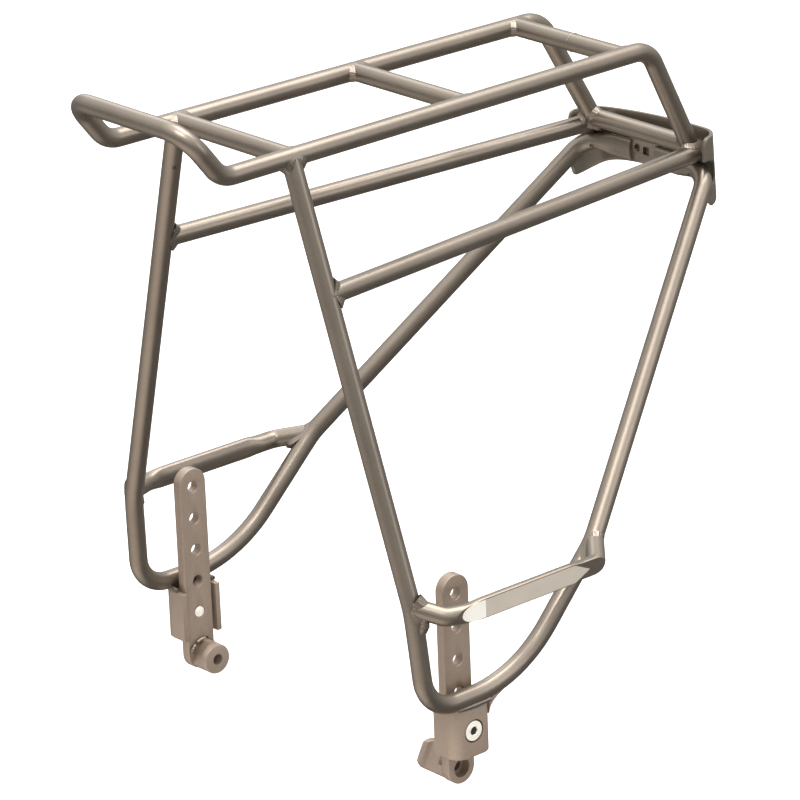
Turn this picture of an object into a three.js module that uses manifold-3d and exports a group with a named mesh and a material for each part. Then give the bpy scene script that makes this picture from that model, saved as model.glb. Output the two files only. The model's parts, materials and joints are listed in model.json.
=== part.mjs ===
// Rear rack for a bicycle: welded tube frame with two height-adjustable feet.
// Units are millimetres. +X is the left side, +Y points to the rear, +Z is up.
// The origin lies midway between the bolt holes of the two feet.

import * as THREE from 'three';
import { mergeVertices } from 'three/addons/utils/BufferGeometryUtils.js';
import Module from 'manifold-3d';

const wasm = await Module();
wasm.setup();

// ---- driving dimensions ----------------------------------------------------

const GAP = 0.35; // clearance left where two pieces meet

const TUBE_RADIUS = 5.15;
const TUBE_WALL = 1.5;
const TUBE_SIDES = 12;
const COPE_START = 1.5; // a coped end starts this far past its neighbour's axis
const STEP_ANGLE = THREE.MathUtils.degToRad(18); // largest turn between two sections

const DECK = {
  height: 332,
  frontHalfWidth: 46.5,
  rearHalfWidth: 43,
  frontBendY: -88.5,
  rearBendY: 209.5,
  loopY: -109.5,
  loopHeight: 359,
  loopBend: 15,
  rearBend: 17,
  postFoot: new THREE.Vector3(38.4, 246, 265),
  barY: [-43, 77, 191.5],
};

const LOWER_RAIL = {
  front: new THREE.Vector3(67, -39, 262),
  rear: new THREE.Vector3(41.5, 252, 265),
};

const REAR_TUBE = { y: 243.9, z: 269, reach: 37.5 };

const LEG = {
  topX: 46,
  knee: new THREE.Vector3(115.8, -33.1, 100),
  bottomFront: new THREE.Vector3(119.5, -29.5, 43.2),
  bottomRear: new THREE.Vector3(118.3, 35.5, 43),
  rearKnee: new THREE.Vector3(115.3, 94, 102),
  top: new THREE.Vector3(48.1, 247.6, 254.5),
  runEnd: new THREE.Vector3(9.5, 246, 255.3),
};

const FOOT = {
  holePitch: 18.6,
  holeCount: 5,
  holeRadius: 3.3,
  firstHoleZ: 24.6,
  innerX: 105.5,
  thickness: 6,
  halfWidth: 9,
  eyeBoreRadius: 3.2,
  counterboreRadius: 5.25,
  counterboreDepth: 3.5,
};

const STANDOFF = { leftInnerX: 84.5, rightInnerX: 91.5, radius: 8.5, notchDepth: 2.5, collar: 4 };

const BRACKET = {
  innerX: 104.5,
  webX: 122.5,
  frontY: -12.35,
  rearY: 14,
  sheet: 3,
  cornerRadius: 8,
  bottomZ: 10,
  topZ: 37.5,
  bossRadius: 6.8,
};

const BOLT = { headRadius: 6.3, headHeight: 3.4, shankRadius: 3, socketRadius: 2.3, socketDepth: 2.6 };

const BRACE = {
  x: 132.5,
  z: 97.7,
  frontY: -11,
  rearY: 68,
  hookReach: 12,
  flatHalfThickness: 2.6,
  flatHalfHeight: 5.9,
  taper: 12,
};

const SHIELD = {
  halfWidth: 54.5,
  backY: 256,
  endY: 240,
  sheet: 2,
  cornerRadius: 15,
  topZ: 273.5,
  bottomZ: 234.5,
  tilt: THREE.MathUtils.degToRad(-4),
  topDrop: 1.5,
  archRise: 11.5,
  archShoulder: 10,
  notchX: 42,
  notchBottomZ: 245,
  notchTopZ: 261,
};

const LAMP_PLATE = {
  halfWidth: 9,
  y: 245.5,
  sheet: 3,
  bottomZ: 248.5,
  topZ: 267,
  holeRadius: 2.2,
  holeX: 4.5,
};

// ---- materials ---------------------------------------------------------------

const finish = {
  frame: new THREE.MeshStandardMaterial({ color: 0xa4917c, metalness: 0.85, roughness: 0.36 }),
  foot: new THREE.MeshStandardMaterial({ color: 0x857667, metalness: 0.8, roughness: 0.45 }),
  shield: new THREE.MeshStandardMaterial({ color: 0x3a332e, metalness: 0.7, roughness: 0.45 }),
  zinc: new THREE.MeshStandardMaterial({ color: 0xd9d4c8, metalness: 0.95, roughness: 0.25 }),
};

// ---- solids: joining and cutting ----------------------------------------------

function toSolid(geometry) {
  const plain = geometry.index ? geometry.toNonIndexed() : geometry.clone();
  plain.deleteAttribute('normal');
  plain.deleteAttribute('uv');
  const merged = mergeVertices(plain, 1e-4);
  const mesh = new wasm.Mesh({
    numProp: 3,
    vertProperties: new Float32Array(merged.attributes.position.array),
    triVerts: new Uint32Array(merged.index.array),
  });
  return new wasm.Manifold(mesh);
}

function toGeometry(solid) {
  const mesh = solid.getMesh();
  const geometry = new THREE.BufferGeometry();
  geometry.setAttribute('position', new THREE.BufferAttribute(new Float32Array(mesh.vertProperties), 3));
  geometry.setIndex(new THREE.BufferAttribute(new Uint32Array(mesh.triVerts), 1));
  geometry.computeVertexNormals();
  return geometry;
}

function cut(geometry, ...tools) {
  let solid = toSolid(geometry);
  for (const tool of tools) solid = solid.subtract(toSolid(tool));
  return toGeometry(solid);
}

function join(geometry, ...others) {
  let solid = toSolid(geometry);
  for (const other of others) solid = solid.add(toSolid(other));
  return toGeometry(solid);
}

// A mirrored copy on the right side, with its faces turned back outwards.
function mirrored(geometry) {
  const copy = geometry.clone().scale(-1, 1, 1);
  const order = copy.index.array;
  for (let i = 0; i < order.length; i += 3) {
    const first = order[i];
    order[i] = order[i + 1];
    order[i + 1] = first;
  }
  copy.computeVertexNormals();
  return copy;
}

const mirrorPoint = (p) => new THREE.Vector3(-p.x, p.y, p.z);

// ---- bent tubes -----------------------------------------------------------------

// A centreline given as sections: each has its place and its direction of travel.
class Centreline extends THREE.Curve {
  constructor(sections) {
    super();
    this.sections = sections;
  }

  section(u) {
    return this.sections[Math.round(u * (this.sections.length - 1))];
  }

  getPointAt(u, target = new THREE.Vector3()) {
    return target.copy(this.section(u).point);
  }

  getTangentAt(u, target = new THREE.Vector3()) {
    return target.copy(this.section(u).tangent);
  }
}

// Sections round one bend between two straight runs.
function bendSections(before, corner, after, radius) {
  const arriving = corner.clone().sub(before).normalize();
  const leaving = after.clone().sub(corner).normalize();
  const turn = arriving.angleTo(leaving);
  const reach = radius * Math.tan(turn / 2);
  const start = corner.clone().addScaledVector(arriving, -reach);
  const inward = leaving.clone().addScaledVector(arriving, -leaving.dot(arriving)).normalize();
  const centre = start.clone().addScaledVector(inward, radius);
  const steps = Math.max(2, Math.ceil(turn / STEP_ANGLE));
  const sections = [];
  for (let i = 0; i <= steps; i += 1) {
    const angle = (turn * i) / steps;
    const point = centre
      .clone()
      .addScaledVector(inward, -radius * Math.cos(angle))
      .addScaledVector(arriving, radius * Math.sin(angle));
    const tangent = arriving.clone().multiplyScalar(Math.cos(angle)).addScaledVector(inward, Math.sin(angle));
    sections.push({ point, tangent });
  }
  return sections;
}

// A route is a list of corners; every corner but the first and last has a bend radius.
function centreline(route) {
  const sections = [];
  const last = route.length - 1;
  const firstRun = route[1].at.clone().sub(route[0].at).normalize();
  sections.push({ point: route[0].at, tangent: firstRun });
  for (let i = 1; i < last; i += 1) {
    sections.push(...bendSections(route[i - 1].at, route[i].at, route[i + 1].at, route[i].bend));
  }
  const lastRun = route[last].at.clone().sub(route[last - 1].at).normalize();
  sections.push({ point: route[last].at, tangent: lastRun });
  return new Centreline(sections);
}

function ring(radius, boreRadius) {
  const shape = new THREE.Shape().absarc(0, 0, radius, 0, Math.PI * 2);
  if (boreRadius) shape.holes.push(new THREE.Path().absarc(0, 0, boreRadius, 0, Math.PI * 2, true));
  return shape;
}

function sweep(path, radius, boreRadius) {
  return new THREE.ExtrudeGeometry(ring(radius, boreRadius), {
    steps: path.sections.length - 1,
    curveSegments: TUBE_SIDES / 2,
    extrudePath: path,
    bevelEnabled: false,
  });
}

const tube = (path) => sweep(path, TUBE_RADIUS, TUBE_RADIUS - TUBE_WALL);
const tubeClearance = (path) => sweep(path, TUBE_RADIUS + GAP);

function straight(from, to) {
  return centreline([{ at: from }, { at: to }]);
}

// ---- round and flat stock -------------------------------------------------------

// A solid of revolution about the X axis; the profile is [radius, x] pairs from axis to axis.
function turned(profile, y, z, segments = 24) {
  const points = profile.map(([radius, x]) => new THREE.Vector2(radius, x));
  const geometry = new THREE.LatheGeometry(points, segments);
  geometry.rotateZ(-Math.PI / 2);
  geometry.translate(0, y, z);
  return geometry;
}

// A round rod along X from x0 to x1.
function rodX(x0, x1, radius, y, z, segments = 24) {
  const rod = new THREE.CylinderGeometry(radius, radius, x1 - x0, segments);
  rod.rotateZ(-Math.PI / 2);
  rod.translate((x0 + x1) / 2, y, z);
  return rod;
}

function block(x0, x1, y0, y1, z0, z1) {
  const box = new THREE.BoxGeometry(x1 - x0, y1 - y0, z1 - z0);
  box.translate((x0 + x1) / 2, (y0 + y1) / 2, (z0 + z1) / 2);
  return box;
}

// A flat outline drawn in (y, z), made solid from x0 to x1.
function plateX(shape, x0, x1, curveSegments = 10) {
  const plate = new THREE.ExtrudeGeometry(shape, { depth: x1 - x0, curveSegments, bevelEnabled: false });
  const axes = new THREE.Matrix4().set(0, 0, 1, x0, 1, 0, 0, 0, 0, 1, 0, 0, 0, 0, 0, 1);
  return plate.applyMatrix4(axes);
}

// A flat outline drawn in (x, z), made solid from y0 to y1.
function plateY(shape, y0, y1, curveSegments = 10) {
  const plate = new THREE.ExtrudeGeometry(shape, { depth: y1 - y0, curveSegments, bevelEnabled: false });
  const axes = new THREE.Matrix4().set(1, 0, 0, 0, 0, 0, -1, y1, 0, 1, 0, 0, 0, 0, 0, 1);
  return plate.applyMatrix4(axes);
}

// A flat outline drawn in (x, y), made solid from z0 to z1.
function plateZ(shape, z0, z1, curveSegments = 8) {
  const plate = new THREE.ExtrudeGeometry(shape, { depth: z1 - z0, curveSegments, bevelEnabled: false });
  return plate.translate(0, 0, z0);
}

// ---- centrelines of the frame -----------------------------------------------------

function deckHalfWidth(y) {
  const share = (y - DECK.frontBendY) / (DECK.rearBendY - DECK.frontBendY);
  return THREE.MathUtils.lerp(DECK.frontHalfWidth, DECK.rearHalfWidth, share);
}

function deckPath() {
  const left = [
    { at: DECK.postFoot },
    { at: new THREE.Vector3(DECK.rearHalfWidth, DECK.rearBendY, DECK.height), bend: DECK.rearBend },
    { at: new THREE.Vector3(DECK.frontHalfWidth, DECK.frontBendY, DECK.height), bend: DECK.loopBend },
    { at: new THREE.Vector3(DECK.frontHalfWidth, DECK.loopY, DECK.loopHeight), bend: DECK.loopBend },
  ];
  const right = left.map(({ at, bend }) => ({ at: mirrorPoint(at), bend })).reverse();
  return centreline([...left, ...right]);
}

function crossTubePath(y, z, reach) {
  return straight(new THREE.Vector3(-reach, y, z), new THREE.Vector3(reach, y, z));
}

// A lower rail; the overshoot carries its axis on past the rear end.
function lowerRailPath(overshoot = 0) {
  const { front, rear } = LOWER_RAIL;
  const run = rear.clone().sub(front).normalize();
  return straight(front, rear.clone().addScaledVector(run, overshoot));
}

function legPath() {
  const top = new THREE.Vector3(LEG.topX, DECK.barY[0], DECK.height);
  return centreline([
    { at: top },
    { at: LEG.knee, bend: 60 },
    { at: LEG.bottomFront, bend: 20 },
    { at: LEG.bottomRear, bend: 78 },
    { at: LEG.rearKnee, bend: 40 },
    { at: LEG.top, bend: 15 },
    { at: LEG.runEnd },
  ]);
}

function mirroredPath(path) {
  const flip = ({ point, tangent }) => ({ point: mirrorPoint(point), tangent: mirrorPoint(tangent) });
  return new Centreline(path.sections.map(flip));
}

const paths = {
  deck: deckPath(),
  railLine: lowerRailPath(10),
  rearTube: crossTubePath(REAR_TUBE.y, REAR_TUBE.z, REAR_TUBE.reach),
  leg: legPath(),
};
paths.rightLeg = mirroredPath(paths.leg);
paths.rightRailLine = mirroredPath(paths.railLine);

// ---- frame tubes -------------------------------------------------------------------

function deckLoopTube() {
  return cut(tube(paths.deck), tubeClearance(paths.railLine), tubeClearance(paths.rightRailLine));
}

function deckCrossbar(y) {
  const bar = crossTubePath(y, DECK.height, deckHalfWidth(y) - COPE_START);
  return cut(tube(bar), tubeClearance(paths.deck));
}

function sideLeg() {
  const frontBar = crossTubePath(DECK.barY[0], DECK.height, DECK.frontHalfWidth);
  return cut(tube(paths.leg), tubeClearance(paths.deck), tubeClearance(frontBar));
}

function lowerRail() {
  return cut(tube(lowerRailPath()), tubeClearance(paths.leg));
}

function rearCrossTube() {
  const neighbours = [paths.deck, paths.railLine, paths.rightRailLine].map(tubeClearance);
  return cut(tube(paths.rearTube), ...neighbours);
}

// ---- side braces ----------------------------------------------------------------------

// The brace leaves the front leg, runs outside the foot and comes back to the rear leg.
function bracePath() {
  const { x, z, frontY, rearY, hookReach } = BRACE;
  const frontWeld = new THREE.Vector3(LEG.knee.x + COPE_START, LEG.knee.y, z + 5);
  const rearWeld = LEG.rearKnee.clone().add(new THREE.Vector3(COPE_START, 1, 0));
  const path = centreline([
    { at: frontWeld },
    { at: new THREE.Vector3(x - 4, frontY - 11, z), bend: 7 },
    { at: new THREE.Vector3(x, frontY, z), bend: 16 },
    { at: new THREE.Vector3(x, rearY + hookReach, z), bend: 9 },
    { at: rearWeld },
  ]);
  const along = (y) => ({ point: new THREE.Vector3(x, y, z), tangent: new THREE.Vector3(0, 1, 0) });
  const middle = path.sections.findIndex(({ point }) => point.y > rearY);
  path.sections.splice(middle, 0, ...braceFlatEnds().map(along));
  return path;
}

function braceFlatEnds() {
  const { frontY, rearY, taper } = BRACE;
  return [frontY + 3, frontY + 3 + taper / 2, frontY + 3 + taper, rearY - taper, rearY - taper / 2, rearY];
}

// Presses the straight stretch flat, easing from round to flat over the taper at each end.
function pressFlat(geometry) {
  const place = geometry.attributes.position;
  const [start, , flatStart, flatEnd, , end] = braceFlatEnds();
  for (let i = 0; i < place.count; i += 1) {
    const y = place.getY(i);
    const opening = THREE.MathUtils.smoothstep(y, start, flatStart);
    const closing = 1 - THREE.MathUtils.smoothstep(y, flatEnd, end);
    const share = Math.min(opening, closing);
    const squeeze = THREE.MathUtils.lerp(1, BRACE.flatHalfThickness / TUBE_RADIUS, share);
    const spread = THREE.MathUtils.lerp(1, BRACE.flatHalfHeight / TUBE_RADIUS, share);
    place.setX(i, BRACE.x + (place.getX(i) - BRACE.x) * squeeze);
    place.setZ(i, BRACE.z + (place.getZ(i) - BRACE.z) * spread);
  }
  return geometry;
}

function sideBrace() {
  return cut(pressFlat(tube(bracePath())), tubeClearance(paths.leg));
}

// ---- feet -------------------------------------------------------------------------------

const footOuterX = FOOT.innerX + FOOT.thickness;
const holeZ = (i) => FOOT.firstHoleZ + i * FOOT.holePitch;

// The height bar: a flat bar with round ends, a row of holes and an eye at its lower end.
function footPlate() {
  const topCentre = holeZ(FOOT.holeCount - 1) + 1.5;
  const outline = new THREE.Shape();
  outline.absarc(0, topCentre, FOOT.halfWidth, 0, Math.PI);
  outline.absarc(0, 0, FOOT.halfWidth, Math.PI, Math.PI * 2);
  outline.closePath();
  for (let i = 0; i < FOOT.holeCount; i += 1) {
    outline.holes.push(new THREE.Path().absarc(0, holeZ(i), FOOT.holeRadius, 0, Math.PI * 2, true));
  }
  outline.holes.push(new THREE.Path().absarc(0, 0, FOOT.eyeBoreRadius, 0, Math.PI * 2, true));
  const plate = plateX(outline, FOOT.innerX, footOuterX, 7);
  return cut(plate, rodX(footOuterX - FOOT.counterboreDepth, footOuterX + 1, FOOT.counterboreRadius, 0, 0));
}

// A round spacer between the height bar and the bicycle's dropout, milled flat in front.
function standoff(innerX) {
  const { radius, notchDepth, collar } = STANDOFF;
  const outerX = FOOT.innerX - GAP;
  const body = rodX(innerX, outerX, radius, 0, 0);
  const bore = rodX(innerX - 1, outerX + 1, FOOT.eyeBoreRadius, 0, 0, 16);
  const flat = block(innerX + collar, outerX + 1, -radius - 1, -radius + notchDepth, -radius, radius);
  return cut(body, bore, flat);
}

// A channel of bent sheet, open towards the wheel, with a boss behind the clamp bolt.
function footBracket() {
  const { innerX, webX, frontY, rearY, sheet, cornerRadius, bottomZ, topZ, bossRadius } = BRACKET;
  const centreX = webX - cornerRadius;
  const inside = cornerRadius - sheet;
  const section = new THREE.Shape();
  section.moveTo(innerX, frontY);
  section.absarc(centreX, frontY + cornerRadius, cornerRadius, -Math.PI / 2, 0);
  section.absarc(centreX, rearY - cornerRadius, cornerRadius, 0, Math.PI / 2);
  section.lineTo(innerX, rearY);
  section.lineTo(innerX, rearY - sheet);
  section.absarc(centreX, rearY - cornerRadius, inside, Math.PI / 2, 0, true);
  section.absarc(centreX, frontY + cornerRadius, inside, 0, -Math.PI / 2, true);
  section.lineTo(innerX, frontY + sheet);
  section.closePath();
  const channel = plateZ(section, bottomZ, topZ, 5);
  const boss = rodX(footOuterX + GAP, webX - sheet / 2, bossRadius, 0, holeZ(0), 20);
  const head = BOLT.headRadius + GAP;
  const shank = BOLT.shankRadius + GAP;
  const hole = turned(
    [
      [0, footOuterX - 1],
      [shank, footOuterX - 1],
      [shank, webX - BOLT.headHeight],
      [head, webX],
      [head, webX + 1],
      [0, webX + 1],
    ],
    0,
    holeZ(0),
  );
  return cut(join(channel, boss), tubeClearance(paths.leg), hole);
}

// A countersunk bolt that presses the height bar's nut; its tip stops just short of the bar.
function clampBolt() {
  const { headRadius, headHeight, shankRadius, socketRadius, socketDepth } = BOLT;
  const faceX = BRACKET.webX + 0.2;
  const tipX = footOuterX + GAP;
  const body = turned(
    [
      [0, tipX],
      [shankRadius - 0.4, tipX],
      [shankRadius, tipX + 0.4],
      [shankRadius, BRACKET.webX - headHeight],
      [headRadius, BRACKET.webX - 0.1],
      [headRadius, faceX],
      [0, faceX],
    ],
    0,
    holeZ(0),
  );
  return cut(body, rodX(faceX - socketDepth, faceX + 1, socketRadius, 0, holeZ(0), 6));
}

// A closed round nut pressed into the hole in use.
function clampNut() {
  const radius = FOOT.holeRadius - GAP;
  const domeX = FOOT.innerX - 0.4;
  const mouthX = footOuterX - GAP;
  return turned(
    [
      [0, domeX],
      [radius * 0.7, domeX],
      [radius, domeX + 0.7],
      [radius, mouthX],
      [radius * 0.7, mouthX],
      [radius * 0.7, domeX + 2],
      [0, domeX + 2],
    ],
    0,
    holeZ(0),
    16,
  );
}

// ---- rear shield and lamp plate -------------------------------------------------------------

// A band of bent sheet round the back; its ends are forked to straddle the rear legs.
function rearShield() {
  const { halfWidth, backY, endY, sheet, cornerRadius, topZ, bottomZ } = SHIELD;
  const centreX = halfWidth - cornerRadius;
  const centreY = backY - cornerRadius;
  const inside = cornerRadius - sheet;
  const plan = new THREE.Shape();
  plan.moveTo(halfWidth, endY);
  plan.absarc(centreX, centreY, cornerRadius, 0, Math.PI / 2);
  plan.absarc(-centreX, centreY, cornerRadius, Math.PI / 2, Math.PI);
  plan.lineTo(-halfWidth, endY);
  plan.lineTo(-halfWidth + sheet, endY);
  plan.absarc(-centreX, centreY, inside, Math.PI, Math.PI / 2, true);
  plan.absarc(centreX, centreY, inside, Math.PI / 2, 0, true);
  plan.lineTo(halfWidth - sheet, endY);
  plan.closePath();
  const band = plateZ(plan, bottomZ, topZ, 6);
  const above = new THREE.Shape();
  above.moveTo(-halfWidth - 5, topZ - SHIELD.topDrop);
  above.quadraticCurveTo(0, topZ + SHIELD.topDrop, halfWidth + 5, topZ - SHIELD.topDrop);
  above.lineTo(halfWidth + 5, topZ + 10);
  above.lineTo(-halfWidth - 5, topZ + 10);
  above.closePath();
  const below = new THREE.Shape();
  below.moveTo(-halfWidth - 5, bottomZ - 10);
  below.lineTo(halfWidth + 5, bottomZ - 10);
  below.lineTo(halfWidth + 5, bottomZ);
  const handleX = halfWidth - SHIELD.archShoulder;
  const handleZ = bottomZ + (4 / 3) * SHIELD.archRise; // a cubic curve's middle reaches 3/4 of its handles
  below.bezierCurveTo(handleX, handleZ, -handleX, handleZ, -halfWidth - 5, bottomZ);
  below.closePath();
  const { notchBottomZ, notchTopZ, notchX } = SHIELD;
  const notches = [1, -1].map((side) => {
    const [near, far] = [side * notchX, side * (halfWidth + 5)].sort((a, b) => a - b);
    return block(near, far, endY - 5, backY - 3, notchBottomZ, notchTopZ);
  });
  const arcs = [plateY(above, endY - 5, backY + 5, 8), plateY(below, endY - 5, backY + 5, 12)];
  const middleZ = (topZ + bottomZ) / 2;
  const shell = cut(band, ...arcs, ...notches).translate(0, 0, -middleZ);
  shell.rotateY(SHIELD.tilt).translate(0, 0, middleZ);
  return cut(shell, ...Object.values(paths).map(tubeClearance));
}

// A small plate between the rear tube and the legs' inner ends, with two holes for a lamp.
function lampPlate() {
  const { halfWidth, y, sheet, bottomZ, topZ, holeRadius, holeX } = LAMP_PLATE;
  const face = new THREE.Shape();
  face.moveTo(-halfWidth, bottomZ);
  face.lineTo(halfWidth, bottomZ);
  face.lineTo(halfWidth, topZ);
  face.lineTo(-halfWidth, topZ);
  face.closePath();
  for (const x of [-holeX, holeX]) {
    face.holes.push(new THREE.Path().absarc(x, (bottomZ + topZ) / 2 - 2, holeRadius, 0, Math.PI * 2, true));
  }
  return cut(plateY(face, y - sheet / 2, y + sheet / 2, 8), tubeClearance(paths.rearTube));
}

// ---- assembly ---------------------------------------------------------------------------------

const group = new THREE.Group();

function add(name, geometry, material) {
  const mesh = new THREE.Mesh(geometry, material);
  mesh.name = name;
  group.add(mesh);
}

function addPair(name, geometry, material) {
  add(`${name}_left`, geometry, material);
  add(`${name}_right`, mirrored(geometry), material);
}

add('deck_loop_tube', deckLoopTube(), finish.frame);
['front', 'middle', 'rear'].forEach((place, i) => {
  add(`deck_crossbar_${place}`, deckCrossbar(DECK.barY[i]), finish.frame);
});
add('rear_cross_tube', rearCrossTube(), finish.frame);
addPair('lower_rail', lowerRail(), finish.frame);
addPair('side_leg', sideLeg(), finish.frame);
addPair('side_brace', sideBrace(), finish.frame);
add('rear_shield', rearShield(), finish.shield);
add('lamp_plate', lampPlate(), finish.frame);
addPair('foot_bracket', footBracket(), finish.foot);
addPair('clamp_bolt', clampBolt(), finish.zinc);
addPair('foot_plate', footPlate(), finish.foot);
addPair('clamp_nut', toGeometry(toSolid(clampNut())), finish.zinc);
add('standoff_left', standoff(STANDOFF.leftInnerX), finish.foot);
add('standoff_right', mirrored(standoff(STANDOFF.rightInnerX)), finish.foot);

export default group;
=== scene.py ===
"""Rear rack for a bicycle: the looks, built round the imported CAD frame.

Shapes are worked out in millimetres in the CAD frame (+X left, +Y rear, +Z up) and scaled to
metres when a piece is made.
"""

import json
import math
import random

import bmesh
import bpy
from mathutils import Matrix, Vector


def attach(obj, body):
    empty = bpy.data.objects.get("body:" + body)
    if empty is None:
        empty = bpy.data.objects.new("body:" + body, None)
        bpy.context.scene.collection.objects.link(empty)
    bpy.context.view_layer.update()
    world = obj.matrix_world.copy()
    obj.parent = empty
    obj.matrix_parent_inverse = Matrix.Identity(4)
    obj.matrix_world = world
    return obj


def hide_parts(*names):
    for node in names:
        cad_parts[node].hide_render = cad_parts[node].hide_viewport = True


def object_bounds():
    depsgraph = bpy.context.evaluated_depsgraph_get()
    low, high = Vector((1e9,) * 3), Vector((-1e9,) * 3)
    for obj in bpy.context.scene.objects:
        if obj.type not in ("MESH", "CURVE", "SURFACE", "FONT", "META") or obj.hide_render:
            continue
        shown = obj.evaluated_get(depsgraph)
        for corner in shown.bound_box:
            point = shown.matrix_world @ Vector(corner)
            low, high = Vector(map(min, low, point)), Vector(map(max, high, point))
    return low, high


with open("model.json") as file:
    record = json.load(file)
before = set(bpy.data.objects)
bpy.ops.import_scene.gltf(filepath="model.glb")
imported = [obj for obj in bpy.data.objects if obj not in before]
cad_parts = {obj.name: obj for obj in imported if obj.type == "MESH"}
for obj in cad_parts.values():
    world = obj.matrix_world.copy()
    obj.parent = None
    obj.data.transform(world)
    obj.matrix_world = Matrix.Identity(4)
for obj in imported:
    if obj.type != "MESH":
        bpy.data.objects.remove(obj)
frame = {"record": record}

cad_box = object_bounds()

MM = 0.001
RIGHT = Matrix.Diagonal((-1, 1, 1))
SIDES = (("left", Matrix.Identity(3)), ("right", RIGHT))

# ---- driving dimensions, in millimetres ---------------------------------------------

TUBE_RADIUS = 5.15
TUBE_SIDES = 40
BEND_STEP = math.radians(4)
VENT_RADIUS = 1.2

# The deck's rails draw together towards the rear, and the loop rises in front of them.
DECK_HEIGHT = 332
FRONT_HALF_WIDTH = 46.5
REAR_HALF_WIDTH = 43
FRONT_BEND_Y = -88.5
REAR_BEND_Y = 209.5
LOOP_Y = -109.5
LOOP_HEIGHT = 359
POST_TOP = Vector((REAR_HALF_WIDTH, REAR_BEND_Y, DECK_HEIGHT))
POST_FOOT = Vector((38.4, 246, 265))
BAR_Y = {"front": -43, "middle": 77, "rear": 191.5}
# Each post's vent: the sign of its side, its distance up the post and the way it faces.
POST_VENTS = ((1, 14, Vector((-1, -0.2, 0))), (-1, 38, Vector((0.1, -1, 0))))

RAIL_FRONT = Vector((67, -39, 262))
RAIL_REAR = Vector((41.5, 252, 265))
RAIL_OVERRUN = 2
REAR_TUBE_Y = 243.9
REAR_TUBE_Z = 269
REAR_TUBE_REACH = 38.5

LEG_TOP = Vector((46, BAR_Y["front"], DECK_HEIGHT))
LEG_KNEE = Vector((115.8, -33.1, 100))
LEG_BOTTOM_FRONT = Vector((119.5, -29.5, 43.2))
LEG_BOTTOM_REAR = Vector((118.3, 35.5, 43))
LEG_REAR_KNEE = Vector((115.3, 94, 102))
LEG_REAR_TOP = Vector((48.1, 247.6, 254.5))
LEG_RUN_END = Vector((9.5, 246, 255.3))
# The leg's inner end is pressed from round stock at one x to its full flatness at the other.
PRESS_START_X = 36
PRESS_FULL_X = 27
PRESS_THICKNESS = 0.42
PRESS_WIDTH = 1.25
LAMP_SLOT_X = (13, 24.5)
LAMP_SLOT_Z = 254.9
LAMP_SLOT_RADIUS = 1.1

BRACE_X = 132.5
BRACE_Z = 97.7
BRACE_FRONT_Y = -11
BRACE_REAR_Y = 68
BRACE_START = Vector((LEG_KNEE.x, LEG_KNEE.y, BRACE_Z + 5))
BRACE_FRONT_BEND = Vector((BRACE_X - 4, BRACE_FRONT_Y - 11, BRACE_Z))
BRACE_REAR_BEND = Vector((BRACE_X, BRACE_REAR_Y + 12, BRACE_Z))
BRACE_END = LEG_REAR_KNEE + Vector((0, 1, 0))
BRACE_TAPER = 9
BRACE_FLAT_X = BRACE_X + 2.3
# Along its straight run the brace's inside is flattened and its height grows by these shares.
BRACE_SQUEEZE = 0.35
BRACE_GROWTH = 0.16
PANEL_HALF_HEIGHT = 4.75
PANEL_OVERLAP = 5
PANEL_TIP_LENGTH = 16
PANEL_TIP_ROUND = 0.7
PANEL_POINT_LENGTH = 10
PANEL_THICKNESS = 0.2
PANEL_BLUNTNESS = 0.1

FOOT_INNER_X = 105.5
FOOT_OUTER_X = 111.5
FOOT_HALF_WIDTH = 9
HOLE_PITCH = 18.6
HOLE_COUNT = 5
HOLE_RADIUS = 3.3
FIRST_HOLE_Z = 24.6
# Centre of the height bar's round top end.
FOOT_TOP_Z = FIRST_HOLE_Z + (HOLE_COUNT - 1) * HOLE_PITCH + 1.5
EYE_RADIUS = 3.2
COUNTERBORE_RADIUS = 5.25
COUNTERBORE_DEPTH = 5
STANDOFF_INNER_X = {"left": 84.5, "right": 91.5}
STANDOFF_RADIUS = 8.5
COLLAR_LENGTH = 3.5
# Distance from the axis to the collar's flat: the right collar is left round.
COLLAR_FLAT = {"left": 6.3, "right": STANDOFF_RADIUS + 1}
NOTCH_FLAT = 4.3
NOTCH_TURN = math.radians(28)

BRACKET_INNER_X = 104.5
BRACKET_WEB_X = 122.5
BRACKET_FRONT_Y = -12.35
BRACKET_REAR_Y = 14
BRACKET_BOTTOM_Z = 10
BRACKET_TOP_Z = 38.5
BRACKET_SHEET = 3
BRACKET_CORNER = 8
# The leg lies along the bracket's top in a shallow curve that is lowest at SEAT_Y.
SEAT_Y = 2
SEAT_Z = 38.9
SEAT_CURVE = 0.0022
GUSSET_X = 119.5
GUSSET_SHEET = 3
BOSS_RADIUS = 6.8
BOLT_HOLE_RADIUS = 3.3
BOLT_HEAD_RADIUS = 6.3
BOLT_SOCKET_RADIUS = 2.6

SHIELD_HALF_WIDTH = 54.5
SHIELD_BACK_Y = 256
SHIELD_END_Y = 240
SHIELD_CORNER = 15
SHIELD_SHEET = 2
SHIELD_TOP_Z = 273.5
SHIELD_BOTTOM_Z = 234.5
SHIELD_TILT = math.radians(-3.2)
SHIELD_CROWN = 1.9
SHIELD_DROOP = 2.5
SHIELD_ARCH_RISE = 11.5
SHIELD_TAIL_RADIUS = 5
FORK_RADIUS = 7.2
FORK_Z = 253
FORK_DEPTH = 12
FORK_INNER_X = 42

LAMP_PLATE_Y = 247.5
LAMP_PLATE_SHEET = 3
LAMP_PLATE_HALF_WIDTH = 11
LAMP_PLATE_BOTTOM_Z = 249.5
LAMP_PLATE_TOP_Z = 266
LAMP_PLATE_CHAMFER_X = 2
LAMP_PLATE_CHAMFER_Z = 3
# The round hole as centre x, z and radius; the square one as two opposite corners.
LAMP_PLATE_HOLE = (-6, 257.5, 2.2)
LAMP_PLATE_SQUARE = (-1.2, 254.6, 3.4, 259)

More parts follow.
